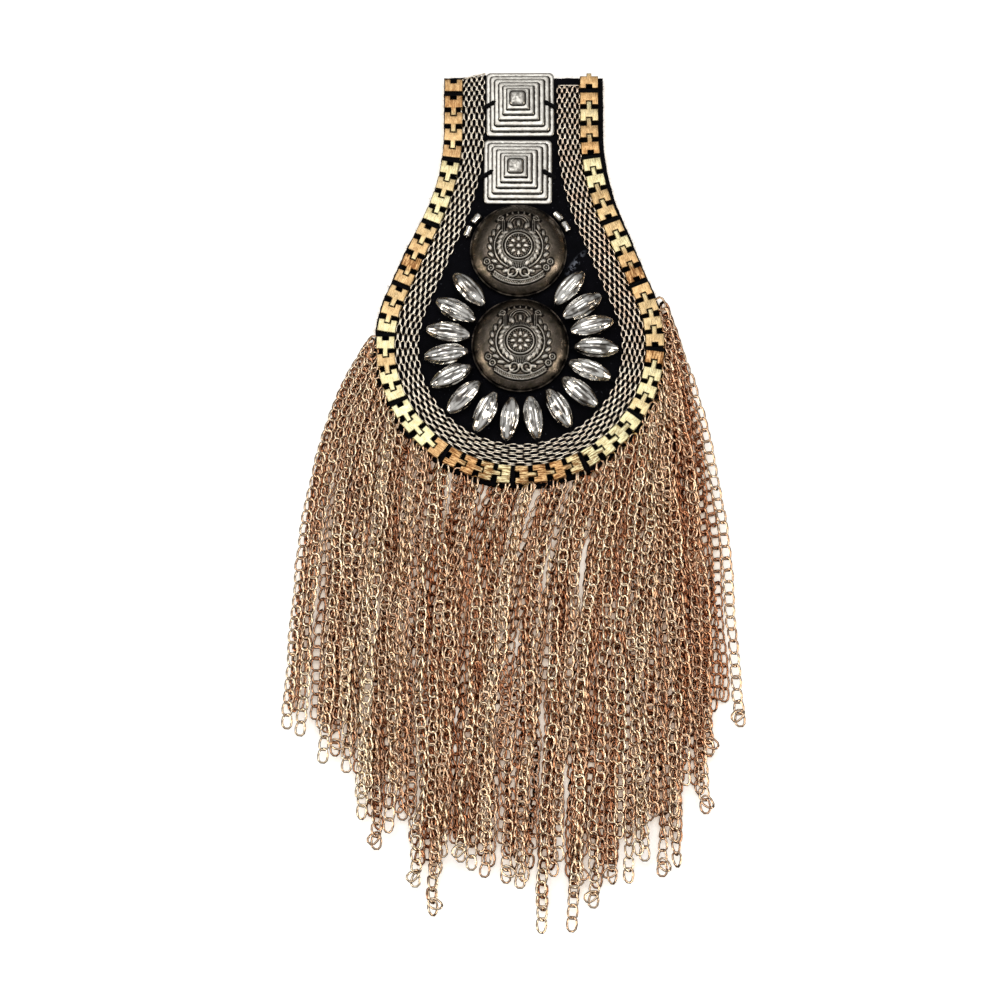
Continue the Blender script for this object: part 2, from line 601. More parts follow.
gilt_finish, gilt_tree, gilt_surface = new_finish("gilt_strap", {"Metallic": 1.0})
gilt_warm = mark_of(gilt_tree, "warmth")
gilt_shade = mark_of(gilt_tree, "shade")
gilt_spot = mark_of(gilt_tree, "block_spot", "Vector")
gilt_pale = add_mottle(gilt_tree, 1.4, 2.4, (0.52, 0.47, 0.25), (0.76, 0.73, 0.47))
gilt_deep = add_mottle(gilt_tree, 1.2, 2.8, (0.34, 0.175, 0.062), (0.66, 0.42, 0.20))
gilt_mix = mixed(gilt_tree, gilt_warm, gilt_pale.outputs["Color"], gilt_deep.outputs["Color"])
gilt_stretch = add_node(gilt_tree, "ShaderNodeMapping", {0: gilt_spot, "Scale": (0.18, 1.3, 0.35)})
gilt_ribs = noise_in(gilt_tree, gilt_stretch.outputs[0], 2.6, 2.5, 0.6)
gilt_furrow = ranged(gilt_tree, gilt_ribs, (0.45, 0.57))
gilt_stain = mixed(gilt_tree, gilt_furrow, (0.22, 0.13, 0.08), (1, 1, 1))
gilt_stained = mixed(gilt_tree, gilt_shade, gilt_mix, gilt_stain, "MULTIPLY")
feed(gilt_surface, "Base Color", gilt_stained)
bump_up(gilt_surface, gilt_ribs, 0.6, 0.00010)
feed(gilt_surface, "Roughness", ranged(gilt_tree, gilt_ribs, (0.3, 0.7), (0.17, 0.36)))

strap_random = np.random.default_rng(31)
strap_warmth = np.array(
    [
        # (share of the way along the strap, how coppery its blocks are)
        (0, 0.8), (0.25, 0.7), (0.27, 0.05), (0.29, 0.05), (0.305, 0.6), (0.325, 0), (0.395, 0), (0.41, 0.9),
        (0.43, 0.9), (0.45, 0.55), (0.48, 0.55), (0.5, 0.95), (0.54, 0.95), (0.565, 0.05), (0.63, 0),
        (0.645, 0.5), (0.66, 0.05), (0.69, 0.2), (0.72, 0.75), (1, 0.75),
    ]
)  # fmt: skip
block_middle = block_length / 2
block_number = 0
for run_number, blocks in enumerate(run_blocks, start=1):
    run_points = []
    run_marks = {"warmth": [], "shade": [], "block_spot": []}
    for block in range(blocks):
        last_reach = last_tongue if run_number == len(run_blocks) else no_tongue
        shape = block_shapes[tongue_gap + tongue_reach if block < blocks - 1 else last_reach].reshape(-1, 3)
        spot = place_along(block_middle, strap_travel, strap_line)
        way = place_along(block_middle, strap_travel, strap_heading)
        turn = np.arctan2(way[1], way[0]) + strap_random.normal(0, 0.012)
        lean = shape[:, :2] @ strap_random.normal(0, 0.022, 2) / 2
        leaned = shape + np.outer(lean + 0.05, [0, 0, 1])
        run_points.append(turned_to(leaned, (*spot, block_floor), turn))
        share = block_number / (block_count - 1)
        warmth = np.interp(share, strap_warmth[:, 0], strap_warmth[:, 1])
        luck = strap_random.random()
        warmth = np.clip(warmth + strap_random.normal(0, 0.13), 0, 1) * (0.2 if luck < 0.10 else 1.0)
        shade = np.interp(share, [0, 0.38, 0.44, 0.56, 0.62, 1], [0.5, 0.25, 1.0, 1.0, 0.3, 0.3])
        shade = np.clip(shade + strap_random.normal(0, 0.15), 0, 1)
        if luck > 0.93:
            warmth = 1.0
            shade = 0.9
        on_tongue = shape[:, 0] > block_length / 2 - 0.05
        run_marks["warmth"].append(np.where(on_tongue, 0.45, 1.0) * warmth)
        run_marks["shade"].append(np.full(len(shape), shade))
        run_marks["block_spot"].append(shape + [0, 0, 7.3 * block_number])
        block_middle += block_length + (tongue_gap if block < blocks - 1 else block_run_gap)
        block_number += 1
    run_faces = [repeated(faces, blocks, block_points) for faces in (block_sides, block_ends)]
    if run_number > 1:
        start = block_middle - blocks * block_length - (blocks - 1) * tongue_gap - block_run_gap + 0.5
        spot = place_along(start, strap_travel, strap_line)
        way = place_along(start, strap_travel, strap_heading)
        pin_share = np.linspace(-0.95, 0.95, 4)[:, None] * slot_half
        pin_line = np.column_stack([spot + pin_share * [-way[1], way[0]], np.full(4, block_floor + 1.2)])
        pin_skin = thread_skin(pin_line[None], 0.3, 0.3, 8).reshape(-1, 3)
        pin_sides, pin_ends = thread_faces(1, 4, 8)
        pin_first = blocks * block_points
        run_faces = [np.vstack([run_faces[0], pin_first + pin_sides]), run_faces[1], pin_first + pin_ends]
        run_points.append(pin_skin)
        run_marks["warmth"].append(np.full(len(pin_skin), 0.0))
        run_marks["shade"].append(np.full(len(pin_skin), 0.0))
        run_marks["block_spot"].append(pin_skin)
    run_marks = {name: np.concatenate(values) for name, values in run_marks.items()}
    label = f"strap_blocks_{run_number:02d}"
    run = add_piece(label, np.vstack(run_points), run_faces, gilt_finish, run_marks, crease=40)
    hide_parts(f"strap_run_{run_number:02d}")


# Square plates: cast white metal, rounded square ridges that climb to a small hipped stud, with
# black paste left in the grooves. Each is sewn on through its edge at both sides.
plate_half = 8.7
plate_corner = 1.1
plate_floor = 2.5
plate_grooves = np.array([7.69, 6.51, 5.28, 4.08, 2.98])
tier_in = np.array([-0.10, -0.03, 0.03, 0.07, 0.11, 0.18, 0.30, 0.52, 0.82])
tier_up = np.array([0.0, -0.13, -0.15, 0.14, 0.52, 0.68, 0.755, 0.785, 0.80])
stud_sizes = np.array([2.14, 2.07, 1.98, 1.93, 1.88, 1.80, 1.62, 1.35, 1.0, 0.65, 0.3])
stud_rise = np.array([0.0, -0.14, -0.16, 0.08, 0.30, 0.44, 0.56, 0.61, 0.64, 0.67, 0.69])
plate_edge = 0.93
tier_floor = plate_edge + 0.82 * np.arange(5)
stud_floor = 5.02
plate_sizes = np.concatenate(
    [[8.2, 8.55, 8.7, 8.7, 8.66, 8.5, 8.2], (plate_grooves[:, None] - tier_in).ravel(), stud_sizes]
)
plate_rise = np.concatenate(
    [[0, 0, 0.15, 0.7, 0.84, 0.92, 0.95], (tier_floor[:, None] + tier_up).ravel(), stud_floor + stud_rise]
)


def rounded_square(half, corner, places):
    """A rounded square as one anticlockwise ring: four quarter turns with straight sides between."""
    quarter = np.linspace(0, np.pi / 2, places)
    arc = np.stack([half - corner + corner * np.cos(quarter), half - corner + corner * np.sin(quarter)], 1)
    side = np.linspace(arc[-1], [-arc[-1, 0], arc[-1, 1]], 8)[1:-1]
    one = np.vstack([arc, side])
    turned = [one, np.stack([-one[:, 1], one[:, 0]], 1), -one, np.stack([one[:, 1], -one[:, 0]], 1)]
    return np.vstack(turned)


plate_corners = np.where(plate_sizes < 2.2, 0.42, plate_corner / plate_half) * plate_sizes
plate_rings = np.array([rounded_square(half, corner, 6) for half, corner in zip(plate_sizes, plate_corners)])
plate_groove = np.max(np.exp(-(((plate_sizes[:, None] - plate_grooves) / 0.12) ** 2)), 1)
plate_groove = np.maximum(plate_groove, np.exp(-(((plate_sizes - 2.02) / 0.11) ** 2)))
plate_groove = np.maximum(plate_groove, np.where(plate_sizes < 1.9, 0.36, 0))
plate_lean = -0.165 * np.maximum(plate_rise - plate_edge, 0)
plate_finish, plate_tree, plate_surface = new_finish("silver_plate", {"Metallic": 1.0})
plate_silver = add_mottle(plate_tree, 1.3, 2.4, (0.40, 0.38, 0.35), (0.67, 0.66, 0.62))
plate_mark = mark_of(plate_tree, "groove")
plate_break = add_mottle(plate_tree, 0.8, 1.4)
plate_paste = worked(plate_tree, "MULTIPLY_ADD", plate_mark, 1.5, plate_break.outputs["Mask"])
plate_black = ranged(plate_tree, plate_paste, (0.95, 1.5))
plate_mix = mixed(plate_tree, plate_black, plate_silver.outputs["Color"], (0.015, 0.012, 0.012))
feed(plate_surface, "Base Color", plate_mix)
feed(plate_surface, "Roughness", ranged(plate_tree, plate_black, (0.0, 1.0), (0.3, 0.85)))
plate_pits = add_mottle(plate_tree, 0.5, 1.5)
bump_up(plate_surface, plate_pits.outputs["Mask"], 0.3, 0.00008)
plate_columns = plate_rings.shape[1]
plate_skin = np.column_stack([plate_rings.reshape(-1, 2), np.repeat(plate_rise, plate_columns)])
plate_points = np.vstack([[0, 0, 0], plate_skin, [0, 0, plate_rise[-1]]])
plate_shift = np.concatenate([[0], np.repeat(plate_lean, plate_columns), plate_lean[-1:]])
plate_faces = shell_faces(len(plate_rings), plate_columns)
plate_marks = {"groove": np.concatenate([[0], np.repeat(plate_groove, plate_columns), [0]])}
for label, spot, turn in (
    ("square_plate_upper", (0.1, 65.1), 0.004),
    ("square_plate_lower", (-0.5, 46.65), -0.004),
):
    points = turned_to(plate_points, (*spot, plate_floor), turn)
    points[:, 0] += plate_shift
    plate = add_piece(label + "_cast", points, plate_faces, plate_finish, plate_marks, crease=50)
    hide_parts(label)


# Domed buttons: stamped shells of dark pewter with a thin rolled rim. A rosette in a ring, leafy
# sprays, an arch, curls and a plain ribbon stand up from the crown. The stamping is blackened, and
# polished again where it stands proud.
button_floor = 2.5
button_rise = 5.0
crest_radius = 9.0
crest_relief = 0.46
button_places = {"domed_button_upper": (-0.4, 25.2), "domed_button_lower": (0.0, 0.0)}


def raised_ellipse(x, y, place, long, wide, turn):
    """How far inside an ellipse each point lies: 1 at its middle, 0 at its edge, less than 0 outside."""
    along = (x - place[0]) * np.cos(turn) + (y - place[1]) * np.sin(turn)
    aside = (y - place[1]) * np.cos(turn) - (x - place[0]) * np.sin(turn)
    return 1 - np.sqrt((along / (long / 2)) ** 2 + (aside / (wide / 2)) ** 2), aside


def crest_height(x, y):
    """Height of the stamping, from 0 to 1, at shares of the crest's radius: its highest shape there."""
    x = np.abs(x)
    out = np.hypot(x, y)
    angle = np.arctan2(y, x)
    line = 0.055
    height = np.zeros_like(x)

    def take(share, fall):
        """Adds a shape from how far inside it each point lies, with its edge rounded over fall."""
        rounded = np.clip(share / fall, 0, 1)
        np.maximum(height, np.sqrt(rounded * (2 - rounded)), out=height)

    def from_mark(turn, marks):
        """The turn from the nearest of a number of marks spaced evenly round."""
        return (turn + np.pi / marks) % (2 * np.pi / marks) - np.pi / marks

    def spot_at(distance, way):
        """The place at a distance and a turn from the middle."""
        return distance * np.cos(way), distance * np.sin(way)

    # A rosette of eight petals in a ring of pearls.
    take(1 - np.abs(out - (0.40 - line / 2)) / (line / 2), 0.8)
    take(0.55 * (1 - np.abs(out - 0.455) / 0.016), 0.8)
    take(1 - out / 0.08, 0.7)
    petal_turn = from_mark(angle, 8)
    petal_along = out * np.cos(petal_turn) - 0.21
    petal_aside = out * np.sin(petal_turn)
    take(1 - np.sqrt((petal_along / 0.09) ** 2 + (petal_aside / 0.06) ** 2), 0.6)
    pearl_turn = from_mark(angle, 28)
    take(0.8 - np.hypot(out * np.cos(pearl_turn) - 0.315, out * np.sin(pearl_turn)) / 0.026, 0.6)
    for turn, distance in ((0.0, 0.70), (-20.0, 0.66), (20.0, 0.66)):
        way = np.radians(90 - turn)
        share, aside = raised_ellipse(x, y, spot_at(distance, way), 0.26, 0.13, way)
        take(share - 0.25 * np.exp(-((aside / 0.012) ** 2)), 0.6)
    # A leafy spray up each side.
    branch = np.degrees(angle)
    stem = 1 - np.abs(out - 0.68) / (line / 2)
    take(np.where((branch > -64) & (branch < 46), stem, -1), 0.9)
    for turn in np.linspace(-64.0, 46.0, 8):
        for outwards in (-1, 1):
            place = spot_at(0.68 + outwards * 0.13, np.radians(turn))
            share, aside = raised_ellipse(x, y, place, 0.25, 0.11, np.radians(turn + 90 - outwards * 28))
            take(share - 0.3 * np.exp(-((aside / 0.011) ** 2)), 0.55)
    # A tied knot below, leaves along the upper edge, and an arch on two pillars.
    bow = np.hypot(x - 0.17, y + 0.76)
    take(1 - np.abs(bow - (0.15 - line / 2)) / (line / 2), 0.8)
    take(raised_ellipse(x, y, (0.26, -0.86), 0.26, 0.07, np.radians(-38))[0], 0.6)
    take(1 - np.hypot(x, y + 0.70) / 0.07, 0.7)
    for turn, distance in ((0.0, 1.05), (9.0, 1.05), (18.0, 1.04), (27.0, 1.02), (36.0, 1.0)):
        way = np.radians(90 - turn)
        take(raised_ellipse(x, y, spot_at(distance, way), 0.13, 0.05, way)[0], 0.7)
    for reach, rise in ((0.30, 0.8), (0.235, 0.6)):
        arch = 1 - np.abs(np.hypot(x, y - 0.64) - reach) / 0.02
        take(np.where(y > 0.56, rise * arch, -1), 0.8)
    for side_line in (0.40, 0.455):
        take(np.where((y > 0.40) & (y < 0.80), 0.7 * (1 - np.abs(x - side_line) / 0.018), -1), 0.8)
    # Ticks round the ring, a roped ribbon along the lower edge, and curls.
    tick = 1 - np.abs(out * np.sin(from_mark(angle, 72))) / 0.012
    take(np.where(np.abs(out - 0.515) < 0.04, 0.5 * tick, -1), 0.8)
    take(np.where((branch < -58) & (np.abs(out - 0.56) < 0.075), 0.9 * tick, -1), 0.8)
    take(np.where(branch < -46, 1 - np.abs(out - 0.985) / 0.022, -1), 0.8)
    take(np.where(branch < -48, 0.9 * (1 - np.abs(out - 1.09) / 0.02), -1), 0.8)
    cord = 0.8 * (1 - np.abs(out * np.sin(from_mark(angle + 1.1 * out, 96))) / 0.018)
    take(np.where((branch < -47) & (np.abs(out - 1.037) < 0.04), cord, -1), 0.8)
    for turn in (-38.0, -26.0, 60.0):
        place = spot_at(0.99, np.radians(turn))
        curl = np.hypot(x - place[0], y - place[1])
        take(0.9 * (1 - np.abs(curl - 0.075) / 0.02), 0.8)
        take(0.8 * (1 - curl / 0.03), 0.8)
    return height


button_columns = 288
crown_radii = np.concatenate([np.linspace(11.98, 10.4, 9), np.linspace(10.3, 0.06, 112)])
crown_bend = 34.0
crown_edge = 12.0
crown_turn = np.arcsin(crest_radius / crown_bend)
crown_fall = crown_bend * (1 - np.cos(crown_turn))
shoulder_share = np.clip((crown_radii - crest_radius) / (crown_edge - crest_radius), 0, 1)
crown_rise = np.where(
    crown_radii <= crest_radius,
    button_rise - crown_bend + np.sqrt(crown_bend**2 - crown_radii**2),
    button_rise - crown_fall - 1.12 * shoulder_share - 1.30 * shoulder_share**2,
)
rim_profile = np.array(
    [
        (10.6, 0.0), (11.6, 0.0), (11.9, 0.1), (12.1, 0.5), (12.26, 0.62), (12.34, 0.8), (12.35, 0.98),
        (12.32, 1.14), (12.26, 1.25), (12.18, 1.29), (12.11, 1.26), (12.06, 1.18), (12.02, 1.16),
    ]
)
button_radii = np.concatenate([rim_profile[:, 0], crown_radii])
button_heights = np.concatenate([rim_profile[:, 1], crown_rise])
button_turn = 2 * np.pi * np.arange(button_columns) / button_columns
flat_x = button_radii[:, None] * np.cos(button_turn)
flat_y = button_radii[:, None] * np.sin(button_turn)
inside = button_radii[:, None] < 10.25
crest = crest_height(flat_x / crest_radius, flat_y / crest_radius) * inside
near = crest.copy()
for shift in (1, 2, 3):
    for axis in (0, 1):
        near = np.maximum(near, np.maximum(np.roll(crest, shift, axis), np.roll(crest, -shift, axis)))
foot = np.clip(near - 1.3 * crest, 0, 1) * inside
rim_worn = 0.55 + 0.6 * np.sin(3 * button_turn + 1.9) * np.sin(11 * button_turn)
rim_worn = rim_worn + 0.3 * np.sin(29 * button_turn)
foot = np.where(button_radii[:, None] > 11.7, np.clip(rim_worn, 0.1, 0.92), foot)
button_z = button_heights[:, None] + crest_relief * crest - 0.10 * foot * inside
button_skin = np.stack([flat_x, flat_y, button_z], -1).reshape(-1, 3)
button_points = np.vstack([[0, 0, 0], button_skin, [0, 0, button_z[-1].mean()]])
button_finish, button_tree, button_surface = new_finish("dark_pewter", {"Metallic": 1.0})
button_raise = mark_of(button_tree, "raised")
button_foot = mark_of(button_tree, "foot")
button_low = add_mottle(button_tree, 1.5, 2.8, (0.07, 0.062, 0.045), (0.20, 0.163, 0.135))
button_high = add_mottle(button_tree, 1.0, 2.4, (0.32, 0.30, 0.26), (0.82, 0.78, 0.72))
button_mix = mixed(button_tree, button_raise, button_low.outputs["Color"], button_high.outputs["Color"])
button_carved = mixed(button_tree, button_foot, button_mix, (0.006, 0.005, 0.005))
feed(button_surface, "Base Color", button_carved)
feed(button_surface, "Roughness", ranged(button_tree, button_low.outputs["Mask"], (0.0, 1.0), (0.38, 0.24)))
button_pits = add_mottle(button_tree, 0.45, 1.6)
bump_up(button_surface, button_pits.outputs["Mask"], 0.35, 0.00010)
raised_mark = np.clip(crest * 1.1, 0, 1) * np.interp(flat_y, [-9.0, -2.0, 5.0, 9.0], [1.0, 0.85, 0.45, 0.35])
button_marks = {
    "raised": np.concatenate([[0], raised_mark.ravel(), [1]]),
    "foot": np.concatenate([[0], foot.ravel(), [0]]),
}
button_faces = shell_faces(len(button_radii), button_columns)
for label, spot in button_places.items():
    points = button_points + [*spot, button_floor]
    button = add_piece(label + "_shell", points, button_faces, button_finish, button_marks)
    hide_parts(label)


# Petal beads: bright silvered spindles with nine rounded flutes, drilled from end to end and laid
# like rays round the lower button. Each is threaded through and sewn down at both ends.
petal_floor = 2.5
petal_length = 11.0
petal_width = 5.3
petal_ring = 19.2
petal_step = 18.5
petal_first = 132.15
petal_clearance = 1.35
petal_flute_depth = 0.2
petal_set = (
    # (turn as a share of a step, shift outwards as a share of the clearance)
    (0.0, 0.0), (0.06, -0.57), (0.09, -0.57), (0.06, -0.28), (0.01, 0.14), (0.01, 0.57),
    (0.05, 0.57), (0.02, 0.57), (-0.04, 0.43), (0.05, 0.28), (0.12, 0.28), (0.13, -0.28),
    (0.12, 0.0), (0.08, -0.43), (0.05, -0.57), (0.0, 0.0),
)  # fmt: skip


def drilled_skin(length, profile, bore, flutes, flute_depth, columns):
    """A drilled bead along X: rings of that profile from tail to head, then back down the bore.

    Profile is rows of place, as a share of half the length, and radius in millimetres. The radius is
    drawn in between the flutes by flute_depth times one less the rounded cosine of the turn.
    """
    turn = 2 * np.pi * np.arange(columns) / columns
    lobes = np.abs(np.cos(turn * flutes / 2)) ** 0.6 if flutes else np.ones(columns)
    places = np.concatenate([profile[:, 0], np.linspace(0.97, -0.97, 5)]) * length / 2
    radii = np.concatenate([profile[:, 1], np.full(5, bore)])
    depth = np.concatenate([flute_depth * np.clip(1.25 - np.abs(profile[:, 0]), 0, 1), np.zeros(5)])
    reach = radii[:, None] * (1 - depth[:, None] * (1 - lobes))
    across = np.broadcast_to(places[:, None], reach.shape)
    return np.stack([across, reach * np.cos(turn), reach * np.sin(turn)], -1), depth[:, None] * (1 - lobes)


petal_share = np.sin(np.linspace(-np.pi / 2, np.pi / 2, 25)) * 0.985
petal_radius = petal_width / 2 * (0.28 + 0.72 * (1 - np.abs(petal_share) ** 2.4))
petal_body = np.stack([petal_share, petal_radius], 1)
petal_profile = np.vstack([[[-0.985, 0.58], [-1.0, 0.66]], petal_body, [[1.0, 0.66], [0.985, 0.58]]])
petal_skin, petal_dip = drilled_skin(petal_length, petal_profile, 0.5, 9, petal_flute_depth, 63)
petal_faces = [grid_faces(*petal_skin.shape[:2], round_rows=True, round_columns=True)]
petal_mark = {"valley": np.clip(petal_dip / petal_flute_depth, 0, 1).ravel()}
petal_place = petal_skin * [0.38, 1.0, 1.0]

bead_finish, bead_tree, bead_surface = new_finish("silver_bead", {"Metallic": 1.0})
bead_spot = mark_of(bead_tree, "bead_spot", "Vector")
bead_patches = noise_in(bead_tree, bead_spot, 0.62, 2.0, 0.5)
bead_polish = ranged(bead_tree, bead_patches, (0.36, 0.52))
bead_color = mixed(bead_tree, bead_polish, (0.24, 0.22, 0.20), (1.0, 0.985, 0.95))
bead_dark = ranged(bead_tree, mark_of(bead_tree, "valley"), (0.40, 0.92), (0.0, 0.92))
bead_mix = mixed(bead_tree, bead_dark, bead_color, (0.05, 0.04, 0.035))
feed(bead_surface, "Base Color", bead_mix)
feed(bead_surface, "Roughness", ranged(bead_tree, bead_polish, (0.0, 1.0), (0.14, 0.07)))
bead_place = add_node(bead_tree, "ShaderNodeTexCoord")
bead_dents = noise_in(bead_tree, bead_place.outputs["Object"], 230.0, 1.5, 0.45)
bump_up(bead_surface, bead_dents, 0.6, 0.0022)
bead_random = np.random.default_rng(51)
bead_spots = []
for number, (turn_share, shift_share) in enumerate(petal_set):
    angle = np.radians(petal_first + (number + turn_share) * petal_step)
    reach = petal_ring + shift_share * petal_clearance
    spot = (reach * np.cos(angle), reach * np.sin(angle), petal_floor + petal_width / 2)
    bead_spots.append((spot, angle, petal_length))
    roll = bead_random.uniform(0, 2 * np.pi)
    rolled = turned_to(petal_skin[..., [1, 2, 0]], (0, 0, 0), roll)[..., [2, 0, 1]]
    points = turned_to(rolled, spot, angle).reshape(-1, 3)
    petal_mark["bead_spot"] = (petal_place + [0, 0, 5.3 * number]).reshape(-1, 3)
    petal = add_piece(f"petal_bead_{number + 1:02d}_cast", points, petal_faces, bead_finish, petal_mark)
    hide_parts(f"petal_bead_{number + 1:02d}")


# Tube beads: four short silvered tubes with rounded ends, threaded on and sewn down in pairs
# where the upper button's rim leaves bare felt.
tube_profile = np.array(
    [
        (-0.97, 0.50), (-1.0, 0.62), (-0.985, 0.80), (-0.93, 0.91), (-0.8, 0.95), (-0.3, 0.93), (0.3, 0.93),
        (0.8, 0.95), (0.93, 0.91), (0.985, 0.80), (1.0, 0.62), (0.97, 0.50),
    ]
)
tube_length = 2.8
tube_ring = 13.75
tube_height = 3.45
tube_skin, tube_dip = drilled_skin(tube_length, tube_profile, 0.42, 0, 0.0, 28)
tube_faces = [grid_faces(*tube_skin.shape[:2], round_rows=True, round_columns=True)]
button_x, button_y = button_places["domed_button_upper"]
for number, way in enumerate(np.radians((158.0, 141.5, 42.5, 28.0)), start=1):
    spot = (button_x + tube_ring * np.cos(way), button_y + tube_ring * np.sin(way), tube_height)
    bead_spots.append((spot, way + np.pi / 2, tube_length))
    points = turned_to(tube_skin, spot, way + np.pi / 2).reshape(-1, 3)
    tube_mark = {"valley": tube_dip.ravel(), "bead_spot": (tube_skin + [0, 0, 4.1 * number]).reshape(-1, 3)}
    tube = add_piece(f"tube_bead_{number:02d}_cut", points, tube_faces, bead_finish, tube_mark)
    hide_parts(f"tube_bead_{number:02d}")


# Chain fringe: lengths of fine curb chain of one pattern, hung by their first links from the rim
# of the felt and lying over each other in four layers. The wire is pale champagne gilt.
link_half_wide = 1.16
link_half_long = 1.80
link_lift = 0.36
link_wire = 0.29
link_pitch = 3.0
link_bends = 10
link_sides = 5
tips = np.array(
    [
        # (across, along) of each tip that shows
        (-57.3, -98.0), (-53.8, -99.8), (-48.1, -106.5), (-45.4, -104.7), (-42.7, -108.9), (-38.7, -120.2),
        (-35.2, -127.6), (-32.1, -123.7), (-29.7, -118.8), (-25.4, -136.8), (-21.5, -143.8), (-20.3, -133.7),
        (-18.7, -129.5), (-14.5, -130.8), (-11.9, -132.7), (-8.7, -134.4), (-3.6, -135.9), (-0.3, -137.1),
        (5.0, -148.0), (7.7, -134.2), (12.5, -147.6), (14.0, -136.3), (17.6, -141.9), (21.8, -136.1),
        (25.9, -135.9), (29.8, -130.5), (34.4, -134.2), (37.8, -132.0), (40.0, -112.1), (44.5, -118.8),
        (46.0, -104.7), (53.6, -97.5),
    ]
)  # fmt: skip
fringe_random = np.random.default_rng(61)
strand_count = 148
first_angle = 178.0
angle_span = 200.0
rim_over = 37.3
rim_under = 38.0
rim_over_height = 2.85
hidden_x = np.interp(np.linspace(0.2, 30.6, strand_count - len(tips)), np.arange(len(tips)), tips[:, 0])
hidden_x = np.clip(hidden_x + fringe_random.normal(0, 0.5, len(hidden_x)), -55.8, 52.4)
hidden_y = np.interp(hidden_x, tips[:, 0], tips[:, 1]) + fringe_random.uniform(3.0, 17.0, len(hidden_x))
strand_tips = np.vstack([tips, np.stack([hidden_x, hidden_y], 1)])
seen = np.append(np.ones(len(tips), bool), np.zeros(len(hidden_x), bool))
in_order = np.argsort(strand_tips[:, 0])
strand_tips = strand_tips[in_order]
seen = seen[in_order]
strand_share = np.arange(strand_count) / (strand_count - 1)
strand_angle = np.radians(first_angle + angle_span * strand_share)
strand_angle += np.radians(fringe_random.normal(0, 0.5, strand_count))
# Near the lowest part of the rim the first links hang in bunches, with narrow slits between.
slit_half = np.radians(2.4)
for slit in np.radians((242.2, 256.4, 270.2, 276.9, 289.4)):
    aside = strand_angle - slit
    pushed = slit + np.sign(aside) * (slit_half + np.abs(aside) / 2)
    strand_angle = np.where(np.abs(aside) < 2 * slit_half, pushed, strand_angle)
strand_over = seen | (fringe_random.random(strand_count) < 0.24)
start_radius = np.where(strand_over, rim_over, rim_under)[:, None]
strand_start = start_radius * np.stack([np.cos(strand_angle), np.sin(strand_angle)], 1)
strand_layer = np.where(strand_over, 2 + np.cumsum(strand_over) % 2, np.cumsum(~strand_over) % 2)
layer_height = np.array([0.62, 1.5, 2.35, 3.1])
layer_tone = (1.0, 0.84, 0.44, 0.25)


def strand_links(number):
    """Middles and headings of one strand's links, a pitch apart along its line.

    The line leaves the rim at its own angle and nears its tip's place by the power of what is left
    of the way. Slow waves and small shifts are laid over it.
    """
    share = np.linspace(0, 1, 400)
    start = strand_start[number]
    tip = strand_tips[number] + [0.0, link_half_long]
    power = np.interp(tip[0], [-50.0, 45.0], [4.5, 3.4])
    fan = 0.65 * (1 - share) ** power + 0.35 * (1 - share)
    sway = np.interp(abs(tip[0]), [44.0, 54.0], [1.0, 0.3])
    waves = sum(
        size * np.sin(2 * np.pi * (turns * share + fringe_random.random()))
        for turns, size in ((1.3, 0.7), (3.1, 0.4), (6.5, 0.22))
    )
    waves = waves * sway * np.clip(share * 4, 0, 1) * np.clip((1 - share) * 6, 0.2, 1)
    x = tip[0] + (start[0] - tip[0]) * fan + waves
    y = start[1] + (tip[1] - start[1]) * share
    down = np.clip(1 - share * 12, 0, 1)
    height = layer_height[strand_layer[number]]
    rim_height = rim_over_height if strand_over[number] else height
    z = height * (1 - down) + rim_height * down
    line = np.stack([x, y, z], 1)
    lengths = lengths_along(line)
    spaces = max(int(round(lengths[-1] / link_pitch)), 2)
    middles = place_along(np.linspace(0, lengths[-1], spaces + 1), lengths, line).T
    middles[:, :2] += fringe_random.normal(0, 0.07, (len(middles), 2))
    middles[:, 2] += fringe_random.normal(0, 0.05, len(middles))
    headings = np.gradient(middles, axis=0)
    if seen[number] and fringe_random.random() < 0.4:
        side = fringe_random.choice([-1, 1])
        aside = fringe_random.uniform(35, 70) * side
        curl = np.array([np.sin(np.radians(aside)), -np.cos(np.radians(aside)), 0.12])
        middles = np.vstack([middles, middles[-1] + [0.55 * side, 0.9, 0.55]])
        headings = np.vstack([headings, curl])
    return middles, headings / np.linalg.norm(headings, axis=1, keepdims=True)


def link_skin():
    """One curb link: a squared oval, lifted and dropped by the sine of twice the turn."""
    turn = 2 * np.pi * np.arange(link_bends) / link_bends
    across = link_half_wide * np.sign(np.cos(turn)) * np.abs(np.cos(turn)) ** 0.85
    along = link_half_long * np.sign(np.sin(turn)) * np.abs(np.sin(turn)) ** 0.9
    line = np.stack([across, along, link_lift * np.sin(2 * turn)], -1)[None]
    return thread_skin(line, link_wire, link_wire, link_sides, closed=True)[0]


one_link = link_skin().reshape(-1, 3)
link_points = link_bends * link_sides
link_faces = grid_faces(link_bends, link_sides, round_rows=True, round_columns=True)
chain_finish, chain_tree, chain_surface = new_finish("champagne_chain", {"Metallic": 1.0})
chain_tone = mark_of(chain_tree, "tone")
chain_cloud = add_mottle(chain_tree, 1.0, 2.0, (0.95, 0.70, 0.44), (1.0, 0.93, 0.76))
chain_mix = mixed(chain_tree, chain_tone, chain_cloud.outputs["Color"], (0.60, 0.27, 0.14))
chain_side = add_node(chain_tree, "ShaderNodeLayerWeight", {"Blend": 0.5})
chain_edge = ranged(chain_tree, chain_side.outputs["Facing"], (0.30, 0.80))
chain_shaded = mixed(chain_tree, chain_edge, chain_mix, (0.16, 0.06, 0.028))
feed(chain_surface, "Base Color", chain_shaded)
feed(chain_surface, "Roughness", ranged(chain_tree, chain_cloud.outputs["Mask"], (0.0, 1.0), (0.24, 0.13)))
layer_names = ("back", "lower", "upper", "front")
layer_points = [[] for name in layer_names]
layer_tones = [[] for name in layer_names]
